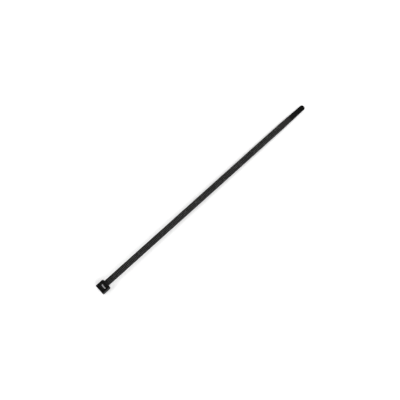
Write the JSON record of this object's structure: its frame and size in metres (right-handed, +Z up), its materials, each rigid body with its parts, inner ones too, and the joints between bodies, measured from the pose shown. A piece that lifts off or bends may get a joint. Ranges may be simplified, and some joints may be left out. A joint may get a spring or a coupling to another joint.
{
  "type": "cable tie",
  "caption": "Black nylon cable tie in one piece: a box head with a slot and a sprung pawl, and a toothed strap that narrows to a blunt tip, lying flat.",
  "frame": {"origin": "centre of the slot in the head's outer face, which lies on the table", "axes": "+X from the head to the tip, +Z up, from the head's outer face to its strap side, and Y across the strap"},
  "size_m": [0.203, 0.008, 0.0055],
  "materials": {
    "nylon": "satin"
  },
  "bodies": {
    "root": {"cable_tie": "nylon"}
  },
  "joints": []
}
